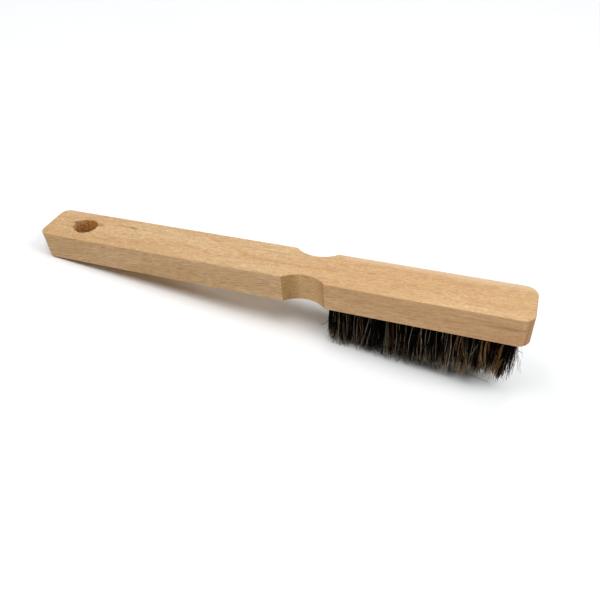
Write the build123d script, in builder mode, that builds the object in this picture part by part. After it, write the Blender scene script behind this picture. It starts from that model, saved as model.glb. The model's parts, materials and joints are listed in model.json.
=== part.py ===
from build123d import *
import os

# Short wooden bee brush: a one-piece beech block (handle, waisted neck and head) with three rows
# of natural-fibre tufts, each folded over a small steel anchor and driven into a blind hole.
#
# Frame: millimetres, +Z up, origin under the middle of the block on the plane of the tuft tips.
# +X runs from the handle end to the head end, Y across the width with the front row at -Y,
# and the fibres hang down from the block to Z = 0.

os.makedirs("parts", exist_ok=True)

# ---------------------------------------------------------------- block
BLOCK_LENGTH = 265.0
BLOCK_WIDTH = 25.0
BLOCK_THICK = 16.0
EDGE_R = 0.5  # eased edges round the top and the underside
HANDLE_CORNER_R = 5.0  # plan radius of the two handle-end corners
HEAD_CORNER_R = 6.0  # plan radius of the two head-end corners
HANDLE_END_X = -BLOCK_LENGTH / 2

HANG_HOLE_R = 6.0
HANG_HOLE_X = HANDLE_END_X + 23.5
HANG_RIM = 0.5  # chamfer, top and bottom

NOTCH_R = 16.0  # cutter radius of the two finger notches
NOTCH_DEPTH = 4.4
NOTCH_X = HANDLE_END_X + 157.5  # middle of the neck
NOTCH_Y = BLOCK_WIDTH / 2 - NOTCH_DEPTH + NOTCH_R  # cutter centre

# ---------------------------------------------------------------- tuft holes
HOLE_R = 2.5
HOLE_DEPTH = 10.0
HOLE_RIM = 0.6  # countersunk mouth, so that the fibres can lie over

# ---------------------------------------------------------------- free tufts
BRISTLE_LENGTH = 29.0  # free length below the block
TUFT_ROOT_R = HOLE_R - 0.08  # clear of the hole wall
TUFT_TIP_R = 3.35  # the fibres open out towards their trimmed tips
TIP_ROUND = 0.9

FACE_Z = BRISTLE_LENGTH  # underside of the block
TOP_Z = FACE_Z + BLOCK_THICK

# ---------------------------------------------------------------- anchors
ANCHOR_THICK = 0.4
ANCHOR_HEIGHT = 1.8
ANCHOR_WIDTH = 2 * (HOLE_R + 0.3)  # wider than the hole on each side, so that it bites
ANCHOR_TOP = 9.0  # depth of the anchor's deep edge, under the fold
ANCHOR_Z = FACE_Z + ANCHOR_TOP - ANCHOR_HEIGHT / 2
SLOT_GAP = 0.03  # between anchor and fibres

# ---------------------------------------------------------------- folded roots
ROOT_R = HOLE_R - 0.04
ROOT_LOW_Z = FACE_Z + TUFT_ROOT_R + 0.1  # gap above the ball of the free tuft
ROOT_HIGH_Z = FACE_Z + HOLE_DEPTH - 0.05  # gap below the floor of the hole
FOLD_R = 0.7

# ---------------------------------------------------------------- tuft layout
# The middle row has one tuft fewer and stands half a pitch along from the outer rows.
OUTER_COUNT = 13
FIRST_TUFT_X = HANDLE_END_X + 172.0
LAST_TUFT_X = HANDLE_END_X + 257.0
TUFT_PITCH = (LAST_TUFT_X - FIRST_TUFT_X) / (OUTER_COUNT - 1)
ROW_PITCH = 7.0

outer_xs = [FIRST_TUFT_X + i * TUFT_PITCH for i in range(OUTER_COUNT)]
middle_xs = [FIRST_TUFT_X + (i + 0.5) * TUFT_PITCH for i in range(OUTER_COUNT - 1)]
ROWS = {
    "front": [(x, -ROW_PITCH) for x in outer_xs],
    "middle": [(x, 0.0) for x in middle_xs],
    "rear": [(x, ROW_PITCH) for x in outer_xs],
}


def save(part, name):
    part.label = name
    export_step(part, f"parts/{name}.step")


def make_block(tuft_points):
    with BuildPart() as block:
        # plan outline: rounded ends and the two finger notches that make the neck
        with BuildSketch(Plane.XY.offset(FACE_Z)) as outline:
            Rectangle(BLOCK_LENGTH, BLOCK_WIDTH)
            fillet(outline.vertices().group_by(Axis.X)[0], HANDLE_CORNER_R)
            fillet(outline.vertices().group_by(Axis.X)[-1], HEAD_CORNER_R)
            with Locations((NOTCH_X, NOTCH_Y), (NOTCH_X, -NOTCH_Y)):
                Circle(NOTCH_R, mode=Mode.SUBTRACT)
        extrude(amount=BLOCK_THICK)

        # ease the outline before any hole adds edges to the top and the underside
        faces = block.faces().sort_by(Axis.Z)
        fillet(faces[-1].edges() + faces[0].edges(), EDGE_R)

        # hanging hole, straight through, with chamfered rims
        with Locations((HANG_HOLE_X, 0, TOP_Z)):
            Hole(HANG_HOLE_R)
        hang_rims = (
            block.edges()
            .filter_by(GeomType.CIRCLE)
            .filter_by(lambda e: abs(e.radius - HANG_HOLE_R) < 1e-6)
            .filter_by(lambda e: abs(e.arc_center.X - HANG_HOLE_X) < 1e-6)
        )
        chamfer(hang_rims, HANG_RIM)

        # blind tuft holes, turned over to drill up into the underside of the head
        with Locations(*[Location((x, y, FACE_Z), (180, 0, 0)) for x, y in tuft_points]):
            CounterSinkHole(
                radius=HOLE_R,
                counter_sink_radius=HOLE_R + HOLE_RIM,
                depth=HOLE_DEPTH,
                counter_sink_angle=90,
            )
    return block.part


def make_anchors(points):
    """The steel anchors of one row, lying across the block."""
    with BuildPart() as anchors:
        with Locations(*[(x, y, ANCHOR_Z) for x, y in points]):
            Box(ANCHOR_THICK, ANCHOR_WIDTH, ANCHOR_HEIGHT)
    return anchors.part


def make_roots(points):
    """The folded tuft roots of one row, packed into their holes."""
    with BuildPart() as roots:
        with BuildSketch(Plane.XY.offset(ROOT_LOW_Z)):
            with Locations(*points):
                Circle(ROOT_R)
        extrude(amount=ROOT_HIGH_Z - ROOT_LOW_Z)

        # slot right across each root for its anchor
        with Locations(*[(x, y, ANCHOR_Z) for x, y in points]):
            Box(
                ANCHOR_THICK + 2 * SLOT_GAP,
                ANCHOR_WIDTH,
                ANCHOR_HEIGHT + 2 * SLOT_GAP,
                mode=Mode.SUBTRACT,
            )

        # the fold over the anchor is rounded
        fold_edges = (
            roots.edges()
            .filter_by(GeomType.CIRCLE)
            .filter_by(lambda e: abs(e.arc_center.Z - ROOT_HIGH_Z) < 1e-6)
        )
        fillet(fold_edges, FOLD_R)
    return roots.part


def make_tuft(x, y):
    """One free tuft: a ball root centred on the underside of the block, flaring below it."""
    with BuildPart() as tuft:
        # half profile, with its origin at the mouth of the hole
        with BuildSketch(Plane(origin=(x, y, FACE_Z), x_dir=(1, 0, 0), z_dir=(0, -1, 0))):
            with BuildLine():
                CenterArc((0, 0), TUFT_ROOT_R, 0, 90)
                Polyline(
                    (TUFT_ROOT_R, 0),
                    (TUFT_TIP_R, -BRISTLE_LENGTH),
                    (0, -BRISTLE_LENGTH),
                    (0, TUFT_ROOT_R),
                )
            make_face()
        revolve(axis=Axis((x, y, FACE_Z), (0, 0, 1)))
        fillet(tuft.edges().group_by(Axis.Z)[0], TIP_ROUND)
    return tuft.part


save(make_block([point for points in ROWS.values() for point in points]), "wood_block")

for row, points in ROWS.items():
    save(make_anchors(points), f"anchors_{row}")
    save(make_roots(points), f"root_bundles_{row}")
    for i, (x, y) in enumerate(points, start=1):
        save(make_tuft(x, y), f"tuft_{row}_{i:02d}")
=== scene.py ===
"""A wooden hand brush: a beech block with three rows of folded natural fibre held by steel anchors.

The block lies along X, its handle (with the hanging hole) towards -X and its head towards +X.
The front row of tufts is on the -Y side. The tufts hang down (-Z) from the block's lower face.
Sizes are in millimetres unless a name or comment says otherwise; Blender itself gets metres.
"""
import json
import math

import bmesh
import bpy
import numpy as np
from mathutils import Matrix, Vector


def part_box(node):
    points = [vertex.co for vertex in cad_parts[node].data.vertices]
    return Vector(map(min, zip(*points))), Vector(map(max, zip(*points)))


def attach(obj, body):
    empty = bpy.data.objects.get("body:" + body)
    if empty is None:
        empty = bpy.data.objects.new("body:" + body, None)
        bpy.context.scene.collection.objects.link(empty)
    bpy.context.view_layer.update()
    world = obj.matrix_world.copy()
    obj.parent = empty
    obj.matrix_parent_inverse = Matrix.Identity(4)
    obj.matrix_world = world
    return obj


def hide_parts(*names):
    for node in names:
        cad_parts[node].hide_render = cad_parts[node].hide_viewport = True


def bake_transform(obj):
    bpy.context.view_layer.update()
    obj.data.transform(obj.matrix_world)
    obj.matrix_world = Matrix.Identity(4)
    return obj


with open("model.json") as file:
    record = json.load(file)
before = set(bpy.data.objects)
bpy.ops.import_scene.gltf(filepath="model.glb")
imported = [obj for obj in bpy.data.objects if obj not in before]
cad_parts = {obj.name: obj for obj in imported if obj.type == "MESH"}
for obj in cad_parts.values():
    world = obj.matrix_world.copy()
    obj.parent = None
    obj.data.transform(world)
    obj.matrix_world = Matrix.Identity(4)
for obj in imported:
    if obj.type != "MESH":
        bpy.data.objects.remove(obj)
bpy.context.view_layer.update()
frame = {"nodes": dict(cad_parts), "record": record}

MM = 0.001

# ------------------------------------------------------------------ places read from the frame
block_lo, block_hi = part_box("wood_block")
HANDLE_END_X = block_lo.x / MM
FACE_Z, TOP_Z = block_lo.z / MM, block_hi.z / MM
hanging_hole = next(m for m in frame["record"]["mounts"] if m["name"] == "hanging_hole")
HANG_X, HANG_Y = hanging_hole["pos_m"][0] / MM, hanging_hole["pos_m"][1] / MM
HANG_RADIUS = hanging_hole["dims"]["r_mm"]
ROW_NAMES = ("front", "middle", "rear")
TUFT_NODES = {row: sorted(n for n in frame["nodes"] if n.startswith(f"tuft_{row}_"))
              for row in ROW_NAMES}
# the brush leans on the end of its handle and on the tuft tips nearest the neck
FLOOR_TILT = math.radians(8.2)


def floor_z(x):
    """Height of the floor under a point of the brush."""
    return FACE_Z - math.tan(FLOOR_TILT) * (x - HANDLE_END_X)


def srgb(red, green, blue):
    """A 0 to 255 display colour as the linear numbers that nodes take."""
    linear = []
    for value in (red, green, blue):
        value = value / 255.0
        linear.append(value / 12.92 if value <= 0.04045 else ((value + 0.055) / 1.055) ** 2.4)
    return tuple(linear)


# ------------------------------------------------------------------ writing node trees
class Signal:
    """An output of a shader node. The operators + - * and abs() add Math nodes."""

    def __init__(self, shader, socket):
        self.shader = shader
        self.socket = socket

    def __add__(self, other):
        return self.shader.math("ADD", self, other)

    def __radd__(self, other):
        return self.shader.math("ADD", other, self)

    def __sub__(self, other):
        return self.shader.math("SUBTRACT", self, other)

    def __rsub__(self, other):
        return self.shader.math("SUBTRACT", other, self)

    def __mul__(self, other):
        return self.shader.math("MULTIPLY", self, other)

    def __abs__(self):
        return self.shader.math("ABSOLUTE", self)

    def inverse(self):
        return self.shader.math("SUBTRACT", 1.0, self, clamp=True)

    def step(self, zero_at, one_at, smooth=True):
        """Rises from 0 at zero_at to 1 at one_at; zero_at may be the greater."""
        return self.shader.value(
            "MapRange", {0: self, 1: zero_at, 2: one_at, 3: 0.0, 4: 1.0}, clamp=True,
            interpolation_type="SMOOTHSTEP" if smooth else "LINEAR")

    def split(self):
        node = self.shader.node("SeparateXYZ", {0: self})
        return [Signal(self.shader, socket) for socket in node.outputs]


class Shader:
    """A material under construction."""

    def __init__(self, name):
        self.material = bpy.data.materials.new(name)
        self.material.use_nodes = True
        self.tree = self.material.node_tree
        self.tree.nodes.clear()
        self.output = self.node("OutputMaterial")
        coordinates = self.node("TexCoord")
        self.position = Signal(self, coordinates.outputs["Object"])
        self.normal = Signal(self, coordinates.outputs["Normal"])

    def feed(self, socket, value):
        """Links a signal to an input, or sets the input's own value."""
        if isinstance(value, Signal):
            self.tree.links.new(value.socket, socket)
            return
        if socket.type == "RGBA" and len(value) == 3:
            value = (*value, 1.0)
        socket.default_value = value

    def node(self, kind, inputs=None, **settings):
        made = self.tree.nodes.new("ShaderNode" + kind)
        for key, setting in settings.items():
            setattr(made, key, setting)
        for key, value in (inputs or {}).items():
            self.feed(made.inputs[key], value)
        return made

    def value(self, kind, inputs=None, output=0, **settings):
        """Adds a node and gives one of its outputs."""
        return Signal(self, self.node(kind, inputs, **settings).outputs[output])

    def math(self, operation, *values, clamp=False):
        return self.value("Math", dict(enumerate(values)), operation=operation, use_clamp=clamp)

    def maximum(self, first, second):
        return self.math("MAXIMUM", first, second)

    def shifted(self, vector, offset):
        return self.value("VectorMath", {0: vector, 1: offset}, operation="ADD")

    def scaled(self, vector, factors):
        return self.value("VectorMath", {0: vector, 1: factors}, operation="MULTIPLY")

    def millimetres(self):
        return self.scaled(self.position, (1000.0, 1000.0, 1000.0))

    def combine(self, x, y, z):
        return self.value("CombineXYZ", {0: x, 1: y, 2: z})

    def mix(self, amount, first, second, blend="MIX"):
        return self.value("Mix", {0: amount, 6: first, 7: second}, output=2,
                          data_type="RGBA", blend_type=blend, clamp_factor=True)

    def multiplied(self, colour, factors):
        return self.mix(1.0, colour, factors, "MULTIPLY")

    def noise(self, place, shift=None, stretch=None, scale=1.0, detail=2.0, rough=0.5):
        """Noise at a place that is first shifted, then stretched, if those are given."""
        if shift is not None:
            place = self.shifted(place, shift)
        if stretch is not None:
            place = self.scaled(place, stretch)
        return self.value("TexNoise", {
            "Vector": place, "Scale": scale, "Detail": detail, "Roughness": rough})

    def bump(self, height, distance, strength, normal=None):
        inputs = {"Height": height, "Distance": distance, "Strength": strength}
        if normal is not None:
            inputs["Normal"] = normal
        return self.value("Bump", inputs)

    def spot(self, across, up, centre, half, tilt=0.0):
        """A soft ellipse in two coordinates: 1 at its centre, half gives its half-sizes."""
        cos_tilt, sin_tilt = math.cos(tilt), math.sin(tilt)
        from_x, from_y = across - centre[0], up - centre[1]
        along = (from_x * cos_tilt + from_y * sin_tilt) * (1.0 / half[0])
        aside = (from_y * cos_tilt - from_x * sin_tilt) * (1.0 / half[1])
        return self.math("EXPONENT", (along * along + aside * aside) * -1.0)

    def principled(self, **inputs):
        """A Principled shader; underscores in the names stand for spaces."""
        return self.value("BsdfPrincipled", {
            name.replace("_", " "): value for name, value in inputs.items()})

    def finish(self, surface):
        self.feed(self.output.inputs["Surface"], surface)
        return self.material


# ------------------------------------------------------------------ beech
WARM_GRAIN = srgb(208, 142, 92)
# tables of marks on the wood, as columns:
# centre x, centre y, half length, half width, [tilt in radians,] strength
SPLINTER_DARK_SPOTS = (
    (-116.4, 1.9, 2.3, 1.0, 0.85), (-114.5, 3.0, 2.4, 0.9, 0.80),
    (-101.6, 3.3, 2.0, 1.0, 0.95), (-115.4, -0.6, 1.6, 0.9, 0.75),
)
GROWTH_BANDS = (
    (-27.5, 5.9, 8.0, 0.9, -0.34, 0.8), (-15.0, 1.8, 8.0, 0.9, -0.31, 0.8),
    (-6.0, -0.8, 6.0, 0.8, -0.20, 0.8), (6.0, -1.8, 11.0, 0.8, -0.06, 1.0),
    (20.0, -2.2, 9.0, 0.7, 0.02, 0.9), (34.0, -0.6, 11.0, 0.8, 0.17, 0.7),
    (-6.0, -6.7, 9.0, 0.7, 0.10, 0.6), (-40.0, -2.4, 12.0, 0.7, -0.14, 0.4),
    (58.0, 2.6, 14.0, 0.7, 0.10, 0.4), (66.0, 8.2, 20.0, 0.9, 0.04, 0.4),
    (98.0, 5.0, 16.0, 0.8, -0.03, 0.3),
)
BROWN_LENSES = (
    (55.7, 1.6, 1.6, 0.35, 0.7), (-42.0, -1.9, 2.4, 0.35, 0.4), (-62.0, 6.2, 2.8, 0.35, 0.35),
    (34.0, -7.6, 2.0, 0.3, 0.4), (88.0, -4.2, 2.2, 0.3, 0.4), (104.0, 2.4, 2.0, 0.3, 0.35),
)


class Beech(Shader):
    """Beech with its grain along X. Each method lays one thing over self.colour."""

    def __init__(self):
        super().__init__("beech")
        self.place = self.millimetres()
        self.x, self.y, self.z = self.place.split()
        self.normal_x, self.normal_y, self.normal_z = self.normal.split()
        # 1 on the upright faces, whose tone is calmer
        self.upright = abs(self.normal_z).step(0.35, 0.75).inverse()
        self.calm = 1.0 - self.upright * 0.5
        self.top = self.normal_z.step(0.6, 0.9)
        # on the upright faces the grain runs out of the face, most at the handle's end
        self.run_out = self.x * (0.10 - self.x * 0.00029)
        self.wander()
        self.late = self.late_wood()
        self.fibre = self.noise(self.grain, stretch=(0.16, 2.6, 2.6), detail=3.0, rough=0.62)

    def tint(self, amount, colour):
        self.colour = self.mix(amount, self.colour, colour)

    def wander(self):
        """Grain coordinates: a slow wander of the fibres with a smaller ripple on it."""
        slow = self.noise(self.place, stretch=(0.012, 0.035, 0.035), detail=1.0) - 0.5
        ripple = self.noise(self.place, stretch=(0.045, 0.11, 0.11), detail=2.0) - 0.5
        self.grain_y = self.y + (slow * 7.0 + ripple * 1.6)
        self.grain_z = self.z + (slow * 3.4 + ripple * 0.9)
        self.grain = self.combine(self.x, self.grain_y, self.grain_z)

    def late_wood(self):
        """The dark part of growth rings about a pith line below the block, off its axis."""
        ring_width = 2.45
        from_pith_y = self.grain_y - 9.0
        from_pith_z = self.grain_z + 30.0
        radius = self.math("SQRT", from_pith_y * from_pith_y + from_pith_z * from_pith_z)
        ring_at = (radius + self.x * 0.014) * (1.0 / ring_width)
        ring = self.math("FRACT", ring_at)
        ring_number = self.combine(self.math("FLOOR", ring_at), 3.7, 1.3)
        strength = self.noise(ring_number, scale=1.37, detail=0.0)
        late = ring.step(0.35, 0.93) * ring.step(0.95, 1.0).inverse()
        return late * (0.45 + strength * 0.9)

    def dashes(self, shift, top_stretch, side_stretch, top_detail, side_detail, rough):
        """Short dashes, with their own run on the upright faces."""
        on_top = self.noise(self.grain, shift=shift, stretch=top_stretch,
                            detail=top_detail, rough=rough)
        along, across, high = side_stretch
        side_place = self.combine(self.x * along, self.grain_y * across,
                                  (self.z - self.run_out) * high)
        on_side = self.noise(side_place, detail=side_detail, rough=rough)
        return self.mix(self.upright, self.combine(on_top, 0.0, 0.0),
                        self.combine(on_side, 0.0, 0.0)).split()[0]

    def ground_tone(self):
        """Broad drift, streaks of a centimetre or more, rings, then the fine fibre."""
        drift = self.noise(self.grain, stretch=(0.013, 0.06, 0.06), detail=2.0)
        streak = self.noise(self.grain, stretch=(0.035, 0.42, 0.42), detail=3.0, rough=0.6)
        warmth = self.noise(self.grain, shift=(40.0, 2.0, 8.0), stretch=(0.22, 0.75, 0.75))
        dash = self.dashes(shift=(5.0, 9.0, 3.0), top_stretch=(0.25, 2.5, 2.5),
                           side_stretch=(0.13, 2.4, 2.5), top_detail=1.5, side_detail=1.5,
                           rough=0.6)
        crisp = self.dashes(shift=(11.0, 3.0, 7.0), top_stretch=(0.70, 2.8, 2.8),
                            side_stretch=(0.26, 3.4, 3.4), top_detail=0.6, side_detail=0.8,
                            rough=0.5)
        pale, middle, deep = srgb(231, 192, 143), srgb(221, 178, 127), srgb(206, 158, 108)
        self.colour = self.mix(drift.step(0.32, 0.68), pale, middle)
        self.tint(streak.step(0.42, 0.78) * 0.42 * self.calm, deep)
        self.tint(self.late * 0.26 * self.calm, self.mix(0.5, self.colour, WARM_GRAIN))
        # the dark of the grain is browner and its light whiter: blue swings more than red
        swing = (self.fibre - 0.5) * 0.24 + (dash - 0.5) * 0.92
        swing = swing + (crisp - 0.5) * 0.62
        swing = swing * (1.0 + self.x.step(-20.0, 80.0) * -0.22)
        warm = warmth - 0.5
        self.colour = self.multiplied(self.colour, self.combine(
            1.0 + (swing * 0.92 + warm * 0.05),
            1.0 + (swing * 1.28 - warm * 0.05),
            1.0 + (swing * 1.70 - warm * 0.12)))

    def flecks(self, stretch, size, share, offset):
        """Lens-shaped dashes, one in each cell whose random value is past share."""
        place = self.scaled(self.shifted(self.grain, (offset, offset * 0.7, 0.0)), stretch)
        cells = self.node("TexVoronoi", {"Vector": place, "Scale": 1.0, "Randomness": 1.0},
                          feature="F1")
        distance = Signal(self, cells.outputs["Distance"])
        chosen = Signal(self, cells.outputs["Color"]).split()[0].step(*share, smooth=False)
        return distance.step(size, size * 0.35) * chosen

    def ray_flecks(self):
        self.brown_flecks = self.flecks(
            stretch=(0.42, 1.6, 0.85), size=0.36, share=(0.52, 0.62), offset=0.0)
        tiny = self.flecks(stretch=(0.70, 2.4, 1.5), size=0.38, share=(0.40, 0.55), offset=13.0)
        light = self.flecks(stretch=(0.40, 1.4, 0.8), size=0.38, share=(0.50, 0.66), offset=31.0)
        self.tint(self.brown_flecks * 0.34, srgb(178, 128, 82))
        self.tint(tiny * 0.28, srgb(168, 122, 78))
        self.tint(light * 0.36, srgb(248, 212, 160))

    def end_grain(self):
        """Darker, mottled wood where the surface cuts across the fibres."""
        x, y, z = self.x, self.y, self.z
        self.across = abs(self.normal_x).step(0.28, 0.85)
        pores = self.noise(self.grain, stretch=(0.9, 3.6, 3.6), detail=3.0, rough=0.7)
        mottled = self.mix(pores.step(0.38, 0.66), srgb(150, 112, 70), srgb(206, 164, 112))
        self.tint(self.across * 0.62, mottled)
        self.tint(self.across * self.late * 0.40, srgb(150, 100, 60))
        # rougher in the notches, on the slopes that face the head and cut against the grain
        notch_length = x.step(12.0, 13.5) * x.step(36.5, 38.5).inverse()
        self.against = self.normal_x.step(0.12, 0.42) * notch_length
        hatch = self.noise(self.combine(x * 0.9, y * 0.9, z * 2.0 + x * 1.6),
                           detail=2.0, rough=0.7)
        torn = self.mix(hatch.step(0.38, 0.60), srgb(134, 103, 56), srgb(202, 160, 100))
        self.tint(self.against * 0.70, torn)

    def single_marks(self):
        """The marks that have their own places on the top and the front side."""
        x, y, z, top = self.x, self.y, self.z, self.top
        # a small dark lens near the hanging hole, and its tail
        knot = self.spot(x, y, centre=(-81.4, 5.45), half=(2.3, 0.60), tilt=-0.06)
        tail = self.spot(x, y, centre=(-88.0, 5.3), half=(6.0, 0.55), tilt=0.02)
        self.tint(knot * top * 0.90, srgb(112, 66, 38))
        self.tint(tail * top * 0.60, srgb(190, 126, 82))
        # darker red-brown spots in the splinters torn out beside the hanging hole
        near_top = z.step(TOP_Z - 1.2, TOP_Z - 0.8)
        for at_x, at_y, half_x, half_y, strength in SPLINTER_DARK_SPOTS:
            splinter_spot = self.spot(x, y, (at_x, at_y), (half_x, half_y))
            self.tint(splinter_spot * near_top * strength, srgb(118, 62, 30))
        # warm growth bands, most of them at the neck
        bands = None
        for at_x, at_y, half_x, half_y, tilt, strength in GROWTH_BANDS:
            band = self.spot(x, y, (at_x, at_y), (half_x, half_y), tilt) * strength
            bands = band if bands is None else self.maximum(bands, band)
        ragged = self.noise(self.grain, stretch=(0.30, 1.1, 1.1), detail=3.0, rough=0.6)
        self.tint(bands * ragged.step(0.30, 0.64) * top * 0.80, WARM_GRAIN)
        for at_x, at_y, half_x, half_y, strength in BROWN_LENSES:
            lens = self.spot(x, y, (at_x, at_y), (half_x, half_y))
            self.tint(lens * top * strength, srgb(150, 98, 60))
        # painted sheen: a paler band along the rear edge of the head, where the light glances off
        # the top
        painted_sheen_band = y.step(6.8, 11.5) * x.step(30.0, 48.0) * top
        self.tint(painted_sheen_band * 0.42, srgb(244, 220, 188))
        # a red-brown patch on the front side near the head's end
        front_side = self.normal_y.step(-0.6, -0.9)
        patch = self.spot(x, z, centre=(122.0, 38.9), half=(9.0, 0.8), tilt=0.02)
        longer_patch = self.spot(x, z, centre=(112.0, 40.6), half=(14.0, 0.5), tilt=0.02)
        patch = self.maximum(patch, longer_patch * 0.6)
        self.tint(patch * front_side * 0.5, srgb(170, 104, 66))

    def zone(self, top, bottom, half_width, left, right):
        """1 inside a box; each side is a pair of places, where it starts and is full."""
        wide, full = half_width
        return self.z.step(*top) * self.z.step(*bottom) * (
            self.y.step(wide, full) * self.y.step(-wide, -full)
            * (self.x.step(*left) * self.x.step(*right)))

    def holes(self):
        """Mottled, fuzzy wood in the hanging hole under painted light and shade, and dark walls in
        the tuft holes.
        """
        x, y, z = self.x, self.y, self.z
        self.inside = self.zone(
            top=(TOP_Z - 0.02, TOP_Z - 0.14), bottom=(FACE_Z + 0.02, FACE_Z + 0.35),
            half_width=(10.6, 10.0), left=(-131.0, -130.4), right=(-95.0, -97.0))
        rag = self.noise(self.combine(x * 0.85, y * 0.85, z * 1.1), detail=4.0, rough=0.7)
        # the mottle's colours are brightened as painted light against the shade inside the hole
        mottle_and_painted_light = self.mix(rag.step(0.38, 0.62), srgb(190, 124, 62), srgb(255, 206, 132))
        # painted light and shade: brightest on the side towards the head, darkest on the side
        # towards the handle's end and low down
        mottle_and_painted_light = self.multiplied(mottle_and_painted_light, self.mix(
            x.step(HANG_X + 0.5, HANG_X - 6.0), (1.48, 1.40, 1.25), (0.58, 0.53, 0.48)))
        mottle_and_painted_light = self.multiplied(mottle_and_painted_light, self.mix(
            z.step(TOP_Z - 2.0, TOP_Z - 10.0), (1.0, 1.0, 1.0), (0.72, 0.70, 0.68)))
        self.tint(self.inside, mottle_and_painted_light)
        drilled = self.zone(
            top=(TOP_Z - 1.0, TOP_Z - 1.5), bottom=(FACE_Z + 0.02, FACE_Z + 0.25),
            half_width=(11.4, 10.8), left=(34.0, 35.0), right=(131.0, 130.0))
        self.tint(drilled * 0.8, srgb(110, 74, 44))

    def handling(self):
        """The grip is a little warmer, the eased edges a deeper orange."""
        patches = self.noise(self.place, stretch=(0.03, 0.08, 0.08), detail=2.0)
        grip = self.x.step(30.0, -30.0) * patches.step(0.45, 0.7)
        self.tint(grip * 0.16 * self.calm, srgb(212, 160, 108))
        sloping = abs(self.normal_z).step(0.90, 0.985).inverse()
        eased = sloping * abs(self.normal_z).step(0.06, 0.3)
        self.tint(eased * 0.30, srgb(226, 168, 108))

    def face_tones(self):
        """The tone of the faces, from the handle to the head."""
        x = self.x
        self.colour = self.multiplied(self.colour, self.mix(
            x.step(0.0, 60.0), (0.818, 0.838, 0.860), (0.845, 0.845, 0.838)))
        # painted shade: the sides are darker than the top, and they are redder towards the head's
        # end
        self.tint(self.upright, self.multiplied(self.colour, self.mix(
            x.step(45.0, 112.0), (0.990, 0.950, 0.905), (0.985, 0.890, 0.815))))
        # browner in the notches
        notch_length = x.step(11.0, 12.0) * x.step(39.0, 38.0)
        notch = self.upright * (abs(self.y).step(12.45, 12.3) * notch_length)
        self.tint(notch, self.multiplied(self.colour, (1.00, 0.975, 0.89)))

    def surface(self):
        """Relief of the grain, with fuzz where the wood was cut roughly."""
        fine = self.noise(self.grain, stretch=(0.5, 9.0, 9.0), detail=2.0, rough=0.6)
        height = self.fibre * 0.5 + (fine * 0.28 + self.brown_flecks * -0.5)
        normal = self.bump(height + self.late * 0.2, distance=0.00008, strength=0.55)
        fuzz = self.noise(self.combine(self.x * 2.2, self.y * 2.2, self.z * 0.9),
                          detail=4.0, rough=0.72)
        rough_cut = self.maximum(
            self.inside * 1.0, self.maximum(self.against * 0.55, self.across * 0.35))
        normal = self.bump(fuzz * rough_cut, distance=0.0005, strength=0.8, normal=normal)
        rough = 0.52 + self.fibre * 0.16
        return self.finish(self.principled(
            Base_Color=self.colour, Roughness=rough + rough_cut * 0.25, Normal=normal,
            Specular_IOR_Level=0.34))


def beech_material():
    wood = Beech()
    wood.ground_tone()
    wood.ray_flecks()
    wood.end_grain()
    wood.single_marks()
    wood.holes()
    wood.handling()
    wood.face_tones()
    return wood.surface()


# ------------------------------------------------------------------ fibre and steel
def fibre_material():
    """Each fibre's own colour, varied along it, with a fine scaly relief."""
    shader = Shader("bristle")
    base = shader.value("Attribute", output="Color", attribute_name="fibre_colour")
    place = shader.millimetres()
    along = shader.noise(place, stretch=(2.2, 2.2, 0.35))
    tone = 0.66 + along * 0.60
    scales = shader.noise(place, stretch=(3.0, 3.0, 9.0))
    return shader.finish(shader.principled(
        Base_Color=shader.multiplied(base, shader.combine(tone, tone, tone)),
        Roughness=0.42 + along * 0.22,
        Normal=shader.bump(scales, distance=0.00002, strength=0.35),
        Specular_IOR_Level=0.02))


def steel_material():
    """Dull wire with drawing marks along Y and a trace of rust."""
    shader = Shader("anchor_steel")
    place = shader.millimetres()
    drawn = shader.noise(place, stretch=(14.0, 0.6, 14.0), detail=3.0, rough=0.6)
    dull = shader.noise(place, stretch=(1.2, 1.2, 1.2))
    colour = shader.mix(dull.step(0.35, 0.7), srgb(176, 174, 168), srgb(138, 136, 132))
    colour = shader.mix(dull.step(0.62, 0.8) * 0.35, colour, srgb(128, 104, 84))
    return shader.finish(shader.principled(
        Base_Color=colour, Roughness=0.28 + drawn * 0.26,
        Normal=shader.bump(drawn, distance=0.00002, strength=0.4), Metallic=1.0))


BEECH, BRISTLE, STEEL = beech_material(), fibre_material(), steel_material()


# ------------------------------------------------------------------ object helpers
def link_object(name, data):
    made = bpy.data.objects.new(name, data)
    bpy.context.scene.collection.objects.link(made)
    return made


def mesh_object(name, verts, faces, material, smooth=True):
    """An object from vertices in metres."""
    mesh = bpy.data.meshes.new(name)
    mesh.from_pydata([tuple(v) for v in verts], [], [tuple(f) for f in faces])
    mesh.update()
    mesh.materials.append(material)
    if smooth:
        mesh.polygons.foreach_set("use_smooth", np.ones(len(mesh.polygons), bool))
    return link_object(name, mesh)


# ------------------------------------------------------------------ the block
HOLE_SEGMENTS = 180
# places broken out of the hole's upper rim: bearing in degrees, depth, width in degrees
RIM_BITES = (
    (128, 0.45, 4.0), (143, 0.75, 5.0), (158, 0.55, 3.5), (171, 1.15, 4.5), (186, 0.60, 3.5),
    (199, 1.30, 6.0), (214, 0.85, 3.5), (228, 0.55, 4.0), (352, 0.55, 3.5), (14, 0.65, 4.0),
    (33, 0.35, 4.0), (300, 0.25, 5.0),
)
# splinters torn from the upper face: x from the hole's centre, y, half length, half width, depth
SPLINTERS = (
    (-6.3, -2.75, 1.0, 0.55, 0.65), (-6.6, 2.05, 1.5, 0.42, 0.50),
    (-8.9, 3.10, 1.4, 0.30, 0.34), (-6.5, 0.20, 0.9, 0.42, 0.55),
    (7.2, 3.45, 1.5, 0.40, 0.42), (-4.8, 4.75, 1.4, 0.36, 0.40),
    (5.6, -3.70, 1.0, 0.30, 0.32), (-3.8, -5.35, 1.1, 0.34, 0.45),
)
SHARP_ANGLE = math.radians(32)


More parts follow.
